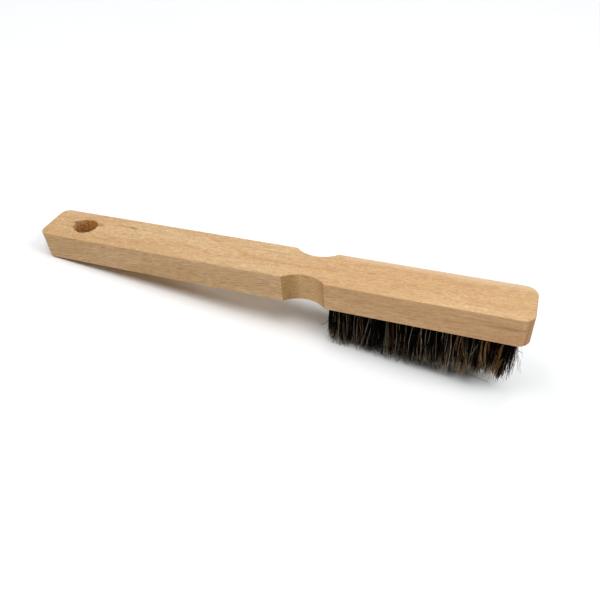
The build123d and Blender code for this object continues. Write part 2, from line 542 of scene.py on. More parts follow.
def wave(rng, terms, reach):
    """A smooth random function of an angle and a height, periodic in the angle."""
    cycles = rng.integers(1, reach, terms)
    climbs = rng.normal(0, 0.5, terms)
    phases = rng.uniform(0, 2 * math.pi, terms)
    sizes = rng.normal(0, 1, terms) / np.sqrt(terms)
    return lambda angle, z: np.sum(sizes * np.sin(cycles * angle + climbs * z + phases))


def hole_radius(angle, z, coarse, medium, fine):
    """Never inside the drilled radius, with torn places outside it."""
    below_top = TOP_Z - z
    rim = math.exp(-(below_top / 0.7) ** 2) + 0.5 * math.exp(-((z - FACE_Z) / 0.7) ** 2)
    along = abs(math.cos(angle))  # the drill tears most where it cuts across the fibres
    radius = HANG_RADIUS + 0.02
    radius += (0.10 * abs(coarse(angle, z * 0.9))
               + 0.13 * abs(medium(angle, z * 1.1)) * (0.5 + along))
    radius += 0.06 * abs(fine(angle, z * 2.2)) * (0.4 + along)
    torn = 0.14 + 0.34 * abs(medium(angle + 1.0, 0.0)) + 0.12 * abs(fine(angle, 3.0))
    radius += rim * torn * (0.35 + 0.65 * along)
    near_top = math.exp(-(below_top / 1.5) ** 2)
    for bearing, depth, width in RIM_BITES:
        away = (math.degrees(angle) - bearing + 180) % 360 - 180
        radius += near_top * depth * math.exp(-(away / width) ** 2)
    return radius


def hole_cutter():
    """A ragged drill for the hanging hole, closed at both ends."""
    rng = np.random.default_rng(41)
    waves = wave(rng, 6, 7), wave(rng, 14, 22), wave(rng, 26, 60)
    heights = [FACE_Z - 2.0, FACE_Z - 0.4, FACE_Z + 0.05, FACE_Z + 0.5]
    heights += list(np.linspace(FACE_Z + 1.3, TOP_Z - 1.4, 15))
    heights += [TOP_Z - 0.9, TOP_Z - 0.55, TOP_Z - 0.25, TOP_Z - 0.02, TOP_Z + 0.4, TOP_Z + 2.0]
    verts = []
    for z in heights:
        z_in_block = min(max(z, FACE_Z), TOP_Z)
        for i in range(HOLE_SEGMENTS):
            angle = 2 * math.pi * i / HOLE_SEGMENTS
            radius = hole_radius(angle, z_in_block, *waves)
            verts.append((HANG_X + radius * math.cos(angle),
                          HANG_Y + radius * math.sin(angle), z))
    faces = []
    for low in range(0, (len(heights) - 1) * HOLE_SEGMENTS, HOLE_SEGMENTS):
        high = low + HOLE_SEGMENTS
        for i in range(HOLE_SEGMENTS):
            j = (i + 1) % HOLE_SEGMENTS
            faces.append((low + i, low + j, high + j, high + i))
    faces.append(tuple(reversed(range(HOLE_SEGMENTS))))
    faces.append(tuple(range((len(heights) - 1) * HOLE_SEGMENTS, len(verts))))
    return [tuple(c * MM for c in v) for v in verts], faces


def splinter_cutter(seed, from_hole_x, centre_y, half_length, half_width, depth):
    """A ragged lens along the grain, let into the upper face."""
    rough = wave(np.random.default_rng(seed), 10, 9)
    centre_x = HANG_X + from_hole_x
    bm = bmesh.new()
    bmesh.ops.create_icosphere(bm, subdivisions=3, radius=1.0)
    for v in bm.verts:
        angle = math.atan2(v.co.y, v.co.x)
        ragged = 1.0 + 0.20 * rough(angle, v.co.z * 2.0)
        taper = 1.0 - 0.45 * v.co.x * v.co.x
        v.co = Vector((
            (centre_x + v.co.x * half_length * ragged) * MM,
            (centre_y + v.co.y * half_width * ragged * taper) * MM,
            (TOP_Z + 0.06 + v.co.z * depth * (0.8 + 0.25 * rough(angle * 2, 0.0))) * MM,
        ))
    verts = [tuple(v.co) for v in bm.verts]
    faces = [tuple(v.index for v in f.verts) for f in bm.faces]
    bm.free()
    return verts, faces


def carve(target, cutters):
    """Takes each cutter out of the target in turn and bakes the result."""
    for i, (verts, faces) in enumerate(cutters):
        tool = mesh_object(f"cutter_{i}", verts, faces, BEECH)
        boolean = target.modifiers.new("carve", "BOOLEAN")
        boolean.operation, boolean.solver, boolean.object = "DIFFERENCE", "EXACT", tool
        depsgraph = bpy.context.evaluated_depsgraph_get()
        carved = bpy.data.meshes.new_from_object(target.evaluated_get(depsgraph),
                                                 depsgraph=depsgraph)
        target.modifiers.clear()
        old, target.data = target.data, carved
        bpy.data.meshes.remove(old)
        bpy.data.objects.remove(tool)


def cleaned_block_mesh():
    """The CAD block with its vertices joined."""
    bm = bmesh.new()
    bm.from_mesh(frame["nodes"]["wood_block"].data)
    bmesh.ops.remove_doubles(bm, verts=bm.verts, dist=2e-6)
    bmesh.ops.dissolve_degenerate(bm, edges=bm.edges, dist=1e-7)
    bmesh.ops.recalc_face_normals(bm, faces=bm.faces)
    mesh = bpy.data.meshes.new("block_visual")
    bm.to_mesh(mesh)
    bm.free()
    mesh.materials.append(BEECH)
    return mesh


def shade_block(mesh):
    """Joins what the carving left apart and marks the sharp edges."""
    bm = bmesh.new()
    bm.from_mesh(mesh)
    bmesh.ops.remove_doubles(bm, verts=bm.verts, dist=1e-6)
    bmesh.ops.dissolve_degenerate(bm, edges=bm.edges, dist=1e-6)
    for face in bm.faces:
        face.smooth = True
    for edge in bm.edges:
        if len(edge.link_faces) == 2:
            edge.smooth = edge.calc_face_angle(0.0) < SHARP_ANGLE
    bm.to_mesh(mesh)
    bm.free()
    # the cutters may have brought their own material slots
    while len(mesh.materials) > 1:
        mesh.materials.pop()
    mesh.polygons.foreach_set("material_index", np.zeros(len(mesh.polygons), np.int32))


def build_block():
    block = link_object("block_visual", cleaned_block_mesh())
    splinters = [splinter_cutter(seed, *row) for seed, row in enumerate(SPLINTERS, start=1)]
    carve(block, [hole_cutter()] + splinters)
    shade_block(block.data)
    weighted = block.modifiers.new("flat_faces_stay_flat", "WEIGHTED_NORMAL")
    weighted.mode, weighted.weight, weighted.keep_sharp = "FACE_AREA", 50, True
    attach(block, "block")
    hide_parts("wood_block")


# ------------------------------------------------------------------ fibre sizes and colours
FRONT, MIDDLE, REAR = range(3)
LAST_TUFT = (12, 11, 12)  # index of the tuft at the head's end, by row
FIBRES = 84  # folded fibres in each tuft
LOCKS = 7  # groups of neighbouring fibres in each tuft
TUBE_SIDES = 5
BUNDLE_RADIUS = 2.26
ANCHOR_TOP = FACE_Z + 9.0
MOUTH_FLARE = 1.06  # how much wider the bundle is at the mouth of its hole
FIRST_SPREAD = 0.20  # part of the spread that comes right at the mouth
TIP_CLEARANCE = 0.16  # of the lowest tips above the floor
# the hidden part of a leg, from the anchor down to the block's face: heights and flare
HIDDEN_HEIGHTS = np.array([ANCHOR_TOP - 1.4, FACE_Z + 5.4, FACE_Z + 2.4, FACE_Z + 0.75, FACE_Z])
HIDDEN_FLARE = np.array([1.0, 1.0, 1.0, 1.0, MOUTH_FLARE])
# stations along the free part of a leg, as parts of its length
FREE_STEPS = np.array([0.04, 0.13, 0.25, 0.39, 0.54, 0.69, 0.83, 0.93, 1.0])
# stations along both parts of a leg: the hidden part counts as its root
LEG_STEPS = np.concatenate([np.zeros(5), FREE_STEPS])
FOLD_ANGLES = np.radians([22.0, 60.0, 90.0, 120.0, 158.0])
SINGLE_STEPS = 14  # stations along a fibre drawn one by one

# black, dark, red, chestnut, tan, grey
FIBRE_COLOURS = np.array([
    srgb(3, 3, 2), srgb(11, 8, 6), srgb(76, 43, 30), srgb(112, 78, 45), srgb(128, 106, 78),
    srgb(122, 117, 100),
])
DARK, RED, CHESTNUT = 1, 2, 3
# shares of those colours, by row; most paler fibres of the front row are drawn one by one
ROW_MIX = (
    (.84, .10, .015, .015, .015, .015), (.80, .12, .02, .02, .02, .02),
    (.68, .13, .04, .05, .06, .04),
)
LAST_MIX = {MIDDLE: (.90, .06, .00, .01, .01, .02), REAR: (.60, .14, .16, .03, .03, .04)}
ROW_LEAN = (-0.75, 0.0, 0.75)  # of the tips in y
LAST_LEAN = ((-0.7, -0.2), (0.5, 0.0), (0.0, -0.6))  # further lean of the last tufts in x, y
PALE_TIP = srgb(182, 166, 138)
# the front row from the neck to the head's end: free length, share of dark fibres with worn
# pale tips, and number of bleached fibres lying over the tuft
FRONT_LENGTH = (21.1, 22.2, 23.1, 23.5, 23.8, 24.2, 24.6, 24.3, 24.2, 23.9, 23.6, 23.2, 24.4)
FRONT_WORN = (.16, .13, .13, .09, .10, .12, .18, .15, .34, .36, .18, .24, .18)
FRONT_BLEACHED = (2, 1, 1, 0, 1, 1, 3, 2, 8, 8, 3, 5, 3)
BLEACHED_ROOT = srgb(34, 24, 17)
BLEACHED_TIPS = (srgb(206, 172, 124), srgb(214, 200, 172), srgb(184, 134, 80))


def free_length(x):
    """Trimmed length of the middle and rear rows: a little shorter towards the neck."""
    along_head = (x - 39.5) / 85.0
    return 27.4 + 1.2 * min(max(along_head * 4.0, 0.0), 1.0) + 0.4 * along_head


def smoothstep(t):
    t = np.clip(t, 0, 1)
    return t * t * (3 - 2 * t)


# ------------------------------------------------------------------ fibre meshes
def unit(vectors):
    return vectors / np.maximum(np.linalg.norm(vectors, axis=-1, keepdims=True), 1e-9)


def tubes(paths, radii):
    """Vertices, side quads and end caps of closed tubes; paths (n, k, 3), radii (n, k)."""
    count, steps, _ = paths.shape
    tangent = unit(np.gradient(paths, axis=1))
    # a side direction carried along each path without twist
    side = np.zeros_like(paths)
    carried = np.tile(np.array([0.0, 1.0, 0.0]), (count, 1))
    starts_along_y = np.abs(tangent[:, 0] @ np.array([0.0, 1.0, 0.0])) > 0.9
    carried[starts_along_y] = (1.0, 0.0, 0.0)
    for i in range(steps):
        dot = np.sum(carried * tangent[:, i], axis=1, keepdims=True)
        carried = unit(carried - dot * tangent[:, i])
        side[:, i] = carried
    other = np.cross(tangent, side)
    angles = np.arange(TUBE_SIDES) * 2 * math.pi / TUBE_SIDES
    rings = (
        paths[:, :, None, :]
        + radii[:, :, None, None] * (np.cos(angles)[None, None, :, None] * side[:, :, None, :]
                                     + np.sin(angles)[None, None, :, None] * other[:, :, None, :])
    )
    base = (np.arange(count) * steps * TUBE_SIDES)[:, None, None]
    ring = (np.arange(steps - 1) * TUBE_SIDES)[None, :, None]
    corner = np.arange(TUBE_SIDES)[None, None, :]
    following = (corner + 1) % TUBE_SIDES
    quads = np.stack([
        base + ring + corner, base + ring + following,
        base + ring + TUBE_SIDES + following, base + ring + TUBE_SIDES + corner,
    ], axis=-1).reshape(-1, 4)
    starts = base[:, 0, 0][:, None]
    first = starts + np.arange(TUBE_SIDES)[::-1][None, :]
    last = starts + (steps - 1) * TUBE_SIDES + np.arange(TUBE_SIDES)[None, :]
    return rings.reshape(-1, 3), quads, np.vstack([first, last])


def bundle_mesh(name, groups):
    """One mesh from groups of (paths, radii, colours); colours are (n, k, 3)."""
    verts, loops, sizes, colours, offset = [], [], [], [], 0
    for paths, radii, path_colours in groups:
        points, quads, caps = tubes(paths, radii)
        verts.append(points)
        loops += [(quads + offset).ravel(), (caps + offset).ravel()]
        sizes += [np.full(len(quads), 4), np.full(len(caps), TUBE_SIDES)]
        colours.append(np.repeat(path_colours.reshape(-1, 3), TUBE_SIDES, axis=0))
        offset += len(points)
    verts, loops, sizes = np.vstack(verts) * MM, np.concatenate(loops), np.concatenate(sizes)
    colours = np.vstack(colours)
    mesh = bpy.data.meshes.new(name)
    mesh.vertices.add(len(verts))
    mesh.vertices.foreach_set("co", verts.astype(np.float32).ravel())
    mesh.loops.add(len(loops))
    mesh.loops.foreach_set("vertex_index", loops.astype(np.int32))
    mesh.polygons.add(len(sizes))
    mesh.polygons.foreach_set("loop_start", (np.cumsum(sizes) - sizes).astype(np.int32))
    mesh.polygons.foreach_set("use_smooth", sizes == 4)
    mesh.update(calc_edges=True)
    mesh.validate()
    layer = mesh.color_attributes.new("fibre_colour", "FLOAT_COLOR", "POINT")
    rgba = np.hstack([np.clip(colours, 0, 1), np.ones((len(colours), 1))])
    layer.data.foreach_set("color", rgba.astype(np.float32).ravel())
    mesh.materials.append(BRISTLE)
    return mesh


# ------------------------------------------------------------------ a tuft of folded fibres
def half_disc(rng):
    """Random places in half of the bundle: distance out in x, and y."""
    radius = BUNDLE_RADIUS * np.sqrt(rng.uniform(0.0, 1.0, FIBRES))
    angle = rng.uniform(-math.pi / 2, math.pi / 2, FIBRES)
    return np.maximum(radius * np.cos(angle), 0.14), radius * np.sin(angle)


def sorted_by_y(out, y):
    order = np.argsort(y)
    return out[order], y[order]


class Tuft:
    """Fibres folded once over the anchor, so that each gives two free ends."""

    def __init__(self, row, index, x, y):
        self.row, self.index, self.x, self.y = row, index, x, y
        self.last = index == LAST_TUFT[row]
        rng = self.rng = np.random.default_rng([2024, row, index])
        mouth_right = half_disc(rng)
        mouth_left = half_disc(rng)
        self.out_right, self.y_right = sorted_by_y(*mouth_right)
        self.out_left, self.y_left = sorted_by_y(*mouth_left)
        # the fibres that stand furthest out have the widest fold
        depth = np.argsort(np.argsort(self.out_right + self.out_left)) / (FIBRES - 1.0)
        self.fold = 0.35 + 0.43 * depth
        self.fold_y = np.clip((self.y_right + self.y_left) / 2 * 0.9, -1.95, 1.95)
        # neighbouring fibres in a lock share a lean and a bend
        self.lock_at = rng.normal(0, 1.25, (LOCKS, 2))
        self.lock_end = rng.normal(0, 0.55, (LOCKS, 2))
        self.lock_bow = rng.normal(0, 0.40, (LOCKS, 2))
        shares = LAST_MIX.get(row, ROW_MIX[row]) if self.last else ROW_MIX[row]
        shares = np.maximum(np.array(shares) + rng.normal(0, 0.012, 6), 0.002)
        self.shares = shares / shares.sum()
        self.lock_kind = rng.choice(6, LOCKS, p=self.shares)
        self.lean = np.array([0.0, ROW_LEAN[row]]) + rng.normal(0, 0.24, 2)
        if index == 0:
            self.lean[0] = 0.10
        if self.last:
            self.lean += LAST_LEAN[row]

    def locks_and_kinds(self, mouth):
        """For each fibre its lock, by distance, and its place in FIBRE_COLOURS."""
        rng = self.rng
        apart = ((mouth[:, None, :] - self.lock_at[None]) ** 2).sum(-1)
        lock = np.argmin(apart + rng.uniform(0, 0.9, (FIBRES, LOCKS)), axis=1)
        like_lock = rng.uniform(0, 1, FIBRES) < (0.04 if self.row == FRONT else 0.12)
        own_kind = rng.choice(6, FIBRES, p=self.shares)
        return lock, np.where(like_lock, self.lock_kind[lock], own_kind)

    def lengths(self, mouth):
        """Free lengths, and which fibres fray out below the rest."""
        rng, front = self.rng, self.row == FRONT
        trimmed = FRONT_LENGTH[self.index] if front else free_length(self.x)
        length = trimmed + rng.normal(0, 0.60, FIBRES)
        rank = rng.uniform(0, 1, FIBRES)
        length = np.where(rank < 0.10, length * rng.uniform(0.62, 0.95, FIBRES), length)
        frayed = rank > 0.82
        extra = (3.8 if front else 1.6) * rng.uniform(0.1, 1.0, FIBRES) ** 1.8
        length = np.where(frayed, length + extra, length)
        if self.last:
            # in the front row the fibres nearest the head's end are the shortest
            length -= 6.6 * smoothstep((mouth[:, 0] + 0.1) / 1.5) if front else 2.6
        return length, frayed

    def aims(self, mouth, lock, frayed):
        """Sideways travel of each tip, and the bow on the way."""
        rng = self.rng
        pairs = (FIBRES, 2)
        end = mouth * 0.46 + self.lean + self.lock_end[lock] + rng.normal(0, 0.42, pairs)
        stray = rng.uniform(0, 1, FIBRES) < 0.045
        end = np.where(stray[:, None], end + rng.normal(0, 2.2, pairs), end)
        end = np.where(frayed[:, None], end + rng.normal(0, 0.5, pairs), end)
        return end, self.lock_bow[lock] + rng.normal(0, 0.26, pairs)

    def free_path(self, mouth, end, bow, length):
        """From the block's face to the tip."""
        rng = self.rng
        t = FREE_STEPS[None, :, None]
        # the packed fibres spring apart as they leave the hole, then run nearly straight
        travel = mouth[:, None, :] * FIRST_SPREAD * (1 - np.exp(-t / 0.10))
        travel = (travel + (end - mouth * FIRST_SPREAD)[:, None, :] * t ** 1.1
                  + bow[:, None, :] * np.sin(math.pi * t) * t ** 0.6)
        curl = rng.normal(0, 0.12, (FIBRES, 2))[:, None, :] * np.sin(
            t * rng.uniform(5, 11, FIBRES)[:, None, None]
            + rng.uniform(0, 6.28, FIBRES)[:, None, None]) * t
        travel = travel + curl
        reach = np.clip(np.linalg.norm(end, axis=1) / length, 0, 0.9)
        drop = length * np.sqrt(1 - reach ** 2)
        x = self.x + mouth[:, None, 0] * MOUTH_FLARE + travel[:, :, 0]
        y = self.y + mouth[:, None, 1] * MOUTH_FLARE + travel[:, :, 1]
        z = FACE_Z - drop[:, None] * FREE_STEPS[None, :]
        # tips that meet the floor lie over on it
        under = np.maximum(floor_z(x) + TIP_CLEARANCE - z, 0.0)
        away = end / np.maximum(np.linalg.norm(end, axis=1, keepdims=True), 1e-6)
        x = x + under * away[:, None, 0] * 0.9
        y = y + under * away[:, None, 1] * 0.9
        z = np.maximum(z, floor_z(x) + TIP_CLEARANCE)
        return np.stack([x, y, z], axis=2)

    def hidden_path(self, mouth, sign):
        """Inside the hole, from the fold to the block's face."""
        down = smoothstep((ANCHOR_TOP - HIDDEN_HEIGHTS) / 8.0)[None, :]
        flare = HIDDEN_FLARE[None, :]
        x = (self.x + sign * self.fold[:, None] * (1 - down)
             + mouth[:, None, 0] * down * flare)
        y = self.y + self.fold_y[:, None] * (1 - down) + mouth[:, None, 1] * down * flare
        return np.stack([x, y, np.broadcast_to(HIDDEN_HEIGHTS[None, :], x.shape)], axis=2)

    def colours(self, kind, frayed):
        """Darkened at the root as painted shade under the block, the fibre's own colour below,
        lighter or worn pale at the tip.
        """
        rng = self.rng
        base = FIBRE_COLOURS[kind] * rng.lognormal(0, 0.20, FIBRES)[:, None]
        share = FRONT_WORN[self.index] if self.row == FRONT else 0.20
        is_worn = (kind <= DARK) & (rng.uniform(0, 1, FIBRES) < share)
        worn = np.where(is_worn, rng.uniform(0.55, 1.0, FIBRES), 0.0)[:, None]
        if self.row == FRONT:
            pale_share = 0.40 if 7 <= self.index <= 11 else 0.12
            pale = frayed & (rng.uniform(0, 1, FIBRES) < pale_share)
            worn = np.where(pale[:, None], 1.0, worn)
        tip = base * np.where(kind >= RED, 1.30, 1.5)[:, None]
        tip = tip * (1 - worn) + np.array(PALE_TIP)[None, :] * worn
        # painted shade: darkest at the root, in the shade under the block; the fibre has its own
        # colour four fifths of the way down
        root = base * np.where(kind >= RED, 0.20, 0.32)[:, None]
        to_tip = smoothstep((LEG_STEPS - 0.60) / 0.34)[None, :, None]
        to_base = smoothstep(LEG_STEPS * 1.25)[None, :, None]
        body = root[:, None, :] + (base - root)[:, None, :] * to_base
        return body * (1 - to_tip) + tip[:, None, :] * to_tip

    def leg(self, out, y, sign):
        """One half of every fibre: paths, radii, colours and root thicknesses."""
        rng = self.rng
        mouth = np.stack([sign * out, y], axis=1)
        lock, kind = self.locks_and_kinds(mouth)
        length, frayed = self.lengths(mouth)
        end, bow = self.aims(mouth, lock, frayed)
        free = self.free_path(mouth, end, bow, length)
        paths = np.concatenate([self.hidden_path(mouth, sign), free], axis=1)
        thick = np.where(kind >= CHESTNUT, rng.uniform(0.125, 0.170, FIBRES),
                         rng.uniform(0.110, 0.155, FIBRES))
        radii = thick[:, None] * (1 - 0.38 * LEG_STEPS[None, :] ** 2)
        radii[:, -1] *= 0.45
        return paths, radii, self.colours(kind, frayed), thick

    def fibres(self):
        """Whole fibres: up the +X leg from its tip, over the anchor and down the -X leg."""
        paths_a, radii_a, colours_a, thick_a = self.leg(self.out_right, self.y_right, 1.0)
        paths_b, radii_b, colours_b, thick_b = self.leg(self.out_left, self.y_left, -1.0)
        x = self.x + self.fold[:, None] * np.cos(FOLD_ANGLES)[None, :]
        y = np.broadcast_to((self.y + self.fold_y)[:, None], x.shape)
        z = ANCHOR_TOP + self.fold[:, None] * np.sin(FOLD_ANGLES)[None, :]
        arc = np.stack([x, y, z], axis=2)
        steps = len(FOLD_ANGLES)
        arc_radii = np.repeat(((thick_a + thick_b) / 2)[:, None], steps, axis=1)
        # the fold takes the mean of its two roots' colours
        arc_colours = np.repeat(((colours_a[:, 0] + colours_b[:, 0]) / 2)[:, None, :],
                                steps, axis=1)
        return (np.concatenate([paths_a[:, ::-1], arc, paths_b], axis=1),
                np.concatenate([radii_a[:, ::-1], arc_radii, radii_b], axis=1),
                np.concatenate([colours_a[:, ::-1], arc_colours, colours_b], axis=1))


# ------------------------------------------------------------------ fibres drawn one by one
def single(points, thick, root, tip, late=1.0):
    """A fibre through a few points; late puts the change to the tip colour further down."""
    points = np.array(points, float)
    spans = np.linalg.norm(np.diff(points, axis=0), axis=1)
    distance = np.concatenate([[0], np.cumsum(spans)])
    path = []
    # Catmull-Rom through the points
    for at in np.linspace(0, distance[-1], SINGLE_STEPS):
        i = int(np.clip(np.searchsorted(distance, at) - 1, 0, len(points) - 2))
        p0, p1, p2, p3 = (points[max(i - 1, 0)], points[i], points[i + 1],
                          points[min(i + 2, len(points) - 1)])
        s = (at - distance[i]) / max(distance[i + 1] - distance[i], 1e-9)
        path.append(0.5 * (2 * p1 + (p2 - p0) * s + (2 * p0 - 5 * p1 + 4 * p2 - p3) * s * s
                           + (3 * p1 - p0 - 3 * p2 + p3) * s ** 3))
    along = np.linspace(0, 1, SINGLE_STEPS)
    radii = thick * (1 - 0.4 * along ** 2)
    radii[-1] *= 0.45
    turn = (along ** late)[:, None]
    colours = np.array(root)[None, :] * (1 - turn) + np.array(tip)[None, :] * turn
    # painted shade: the upper half of the fibre is darkened, to half its colour at the root, for
    # the shade under the block
    colours = colours * (0.50 + 0.50 * smoothstep((along - 0.05) / 0.5))[:, None]
    return np.array(path)[None], radii[None], colours[None]


def toned(colour, tone):
    return [c * tone for c in colour]


# root and tip colours of the strands; the darker roots are painted shade under the block
SHADES = {
    "grey": (srgb(112, 106, 88), srgb(136, 130, 112)),
    "pale": (srgb(136, 126, 104), srgb(176, 166, 144)),
    "tan": (srgb(130, 104, 76), srgb(156, 134, 108)),
    "gold": (srgb(140, 106, 62), srgb(168, 136, 92)),
    "chestnut": (srgb(112, 76, 44), srgb(166, 120, 74)),
    "rust": (srgb(112, 74, 44), srgb(132, 96, 64)),
    "red": (srgb(84, 46, 32), srgb(96, 58, 42)),
    "pink": (srgb(132, 100, 82), srgb(158, 132, 112)),
    "black": (srgb(20, 18, 17), srgb(30, 28, 26)),
}
# paler fibres along the front row, by tuft: how many lie together, shade, points x, y, z
STRANDS = {
    0: [
        (1, "grey", [(39.7, -9.1, 31.0), (39.7, -9.5, 24.7), (38.9, -9.9, 15.1)]),
        (1, "grey", [(40.6, -8.8, 31.0), (40.6, -9.5, 25.5), (40.3, -9.8, 17.7)]),
        (2, "tan", [(41.4, -7.9, 31.0), (42.5, -9.3, 25.1), (42.4, -9.6, 15.7), (40.5, -10, 6.6)]),
        (1, "pink", [(41.4, -7.9, 31.0), (41.7, -9.3, 26.1), (42.4, -10.1, 8.4),
                     (42.8, -10.4, 1.4)]),
    ],
    1: [
        (2, "tan", [(46.4, -9.1, 31.0), (46.4, -9.3, 25.0), (46.6, -9.6, 15.6), (47.5, -10, 4.9)]),
        (1, "tan", [(47.6, -8.8, 31.0), (47.6, -9.5, 25.0), (47.2, -9.9, 15.4),
                    (46.7, -10.2, 5.5)]),
        (1, "grey", [(45.2, -8.6, 31.0), (45.2, -9.3, 26.1), (45.0, -10.2, 7.3),
                     (45.8, -10.3, 2.9)]),
    ],
    2: [
        (2, "rust", [(53.4, -9.1, 31.0), (53.3, -9.3, 23.5), (54.1, -9.6, 15.9),
                     (55.0, -9.8, 11.1)]),
        (1, "rust", [(54.8, -8.8, 31.0), (54.7, -9.3, 26.1), (54.6, -10, 13.5),
                     (55.6, -10.1, 8.5), (56.1, -10.3, 5.2)]),
        (1, "tan", [(52.3, -8.6, 31.0), (52.3, -9.3, 26.1), (52.0, -10.1, 8.7),
                    (52.3, -10.4, 1.1)]),
        (1, "grey", [(51.8, -7.9, 31.0), (50.6, -9.6, 23.1), (50.7, -10, 13.0)]),
    ],
    3: [
        (2, "grey", [(58.9, -7.9, 31.0), (58.1, -9.3, 25.2), (57.0, -9.5, 19.4),
                     (54.2, -10, 5.6)]),
        (2, "grey", [(59.2, -8.4, 31.0), (59.1, -9.3, 23.9), (59.0, -9.5, 18.9),
                     (56.4, -10, 5.0)]),
        (1, "black", [(62.1, -8.6, 31.0), (62.0, -9.3, 26.1), (61.7, -10.2, 7.9),
                      (61.9, -10.4, 2.1)]),
    ],
    4: [
        (1, "grey", [(67.0, -8.9, 31.0), (66.8, -9.5, 25.0), (67.0, -10.1, 10.6)]),
        (3, "red", [(69.7, -7.9, 31.0), (69.8, -9.3, 25.0), (70.7, -9.9, 7.9)]),
    ],
    5: [
        (1, "pink", [(73.0, -7.9, 31.0), (71.9, -9.5, 25.7), (72.4, -9.9, 16.0),
                     (71.8, -10.3, 3.8)]),
        (1, "grey", [(73.3, -8.3, 31.0), (73.1, -9.5, 25.5), (74.3, -9.8, 17.7),
                     (73.7, -10.2, 7.8)]),
        (2, "rust", [(76.6, -8.3, 31.0), (76.4, -9.3, 25.1), (76.5, -9.4, 20.7),
                     (76.0, -9.6, 15.2)]),
        (1, "black", [(75.7, -8.9, 31.0), (75.5, -9.3, 26.1), (75.1, -10.2, 5.4),
                      (72.4, -10.4, -0.2)]),
    ],
    6: [
        (1, "pale", [(80.1, -7.9, 31.0), (79.6, -9.3, 26.1), (78.5, -9.9, 16.0),
                     (78.6, -10, 10.9), (78.4, -10.3, 5.1)]),
        (1, "grey", [(80.8, -8.7, 31.0), (80.5, -9.6, 24.3), (80.5, -9.7, 20.4)]),
        (2, "rust", [(83.6, -8.4, 31.0), (83.3, -9.3, 24.3), (82.8, -9.4, 20.2),
                     (82.0, -9.9, 8.9)]),
        (2, "pale", [(83.9, -7.9, 31.0), (83.8, -9.3, 26.1), (83.8, -9.4, 21.6),
                     (84.7, -9.7, 14.2), (84.0, -10, 4.8)]),
    ],
    7: [
        (2, "grey", [(87.2, -7.9, 31.0), (86.1, -9.3, 24.4), (86.5, -9.6, 14.7),
                     (88.0, -10, 4.8)]),
        (1, "grey", [(88.3, -8.9, 31.0), (88.0, -9.5, 24.6), (87.4, -9.8, 17.9)]),
        (1, "tan", [(91.0, -7.9, 31.0), (91.0, -9.3, 26.1), (91.7, -10, 13.6),
                    (92.1, -10.3, 5.1)]),
    ],
    8: [
        (2, "tan", [(94.4, -8.1, 31.0), (94.1, -9.3, 26.1), (94.0, -9.4, 21.7),
                    (94.6, -9.8, 9.1)]),
        (2, "pale", [(95.6, -9.0, 31.0), (95.2, -9.3, 24.8), (95.8, -9.6, 15.1),
                     (96.5, -9.9, 7.3)]),
        (2, "rust", [(98.1, -7.9, 31.0), (97.7, -9.3, 24.8), (98.6, -9.6, 16.9)]),
        (1, "pale", [(98.1, -7.9, 31.0), (98.1, -9.3, 26.1), (98.7, -10, 13.3),
                     (98.0, -10.4, -0.2)]),
        (1, "pale", [(96.6, -9.1, 31.0), (96.3, -9.3, 26.1), (95.8, -10.3, 5.1),
                     (95.6, -10.4, -1.0)]),
    ],
    9: [
        (1, "tan", [(101.3, -7.9, 31.0), (100.7, -9.3, 26.1), (99.7, -9.9, 14.8),
                    (101.2, -10.2, 6.7)]),
        (2, "rust", [(101.6, -8.3, 31.0), (101.2, -9.3, 24.8), (101.2, -9.6, 16.6)]),
        (1, "tan", [(102.8, -9.1, 31.0), (102.4, -9.3, 26.1), (102.0, -10.1, 9.3),
                    (102.1, -10.3, 3.5)]),
        (1, "tan", [(103.1, -9.1, 31.0), (102.7, -9.5, 25.9), (102.5, -9.6, 22.1)]),
        (2, "gold", [(104.0, -9.0, 31.0), (103.6, -9.3, 24.8), (104.2, -9.6, 17.5),
                     (106.5, -9.8, 10.3), (106.9, -10.1, 3.5)]),
    ],
    10: [
        (1, "gold", [(112.2, -7.9, 31.0), (112.0, -9.3, 26.1), (112.2, -9.7, 19.9),
                     (114.7, -10.2, 7.9)]),
        (1, "gold", [(112.2, -7.9, 31.0), (112.2, -9.3, 26.1), (113.0, -10.1, 10.3),
                     (113.9, -10.3, 4.8)]),
        (1, "tan", [(108.9, -8.5, 31.0), (108.5, -9.3, 26.1), (108.0, -10.2, 7.6),
                    (109.4, -10.3, 4.0)]),
    ],
    11: [
        (3, "gold", [(115.5, -7.9, 31.0), (114.2, -9.3, 24.6), (114.5, -9.6, 17.1),
                     (116.4, -10, 6.5)]),
        (2, "rust", [(115.8, -8.3, 31.0), (115.3, -9.3, 24.9), (116.2, -9.6, 16.5)]),
        (1, "red", [(118.2, -8.9, 31.0), (117.7, -9.6, 24.2), (118.3, -9.7, 20.1)]),
    ],
    12: [
        (2, "chestnut", [(122.6, -7.9, 31.0), (120.9, -9.3, 24.9), (120.2, -9.4, 20.3),
                         (119.2, -9.7, 14.1), (118.8, -10, 6.1)]),
        (3, "chestnut", [(122.6, -7.9, 31.0), (121.4, -9.3, 24.4), (120.9, -9.5, 17.9),
                         (120.5, -9.7, 12.3), (121.9, -10.1, 3.6)]),
        (1, "black", [(123.7, -8.9, 31.0), (123.1, -9.6, 23.1), (123.1, -9.9, 15.5),
                      (123.4, -10.2, 7.8)]),
    ],
}

STRAY_BLACK, STRAY_RED, STRAY_PALE = srgb(20, 18, 17), srgb(104, 58, 42), srgb(176, 166, 146)
STRAY_CHESTNUT, STRAY_GREY = srgb(134, 88, 48), srgb(104, 98, 86)
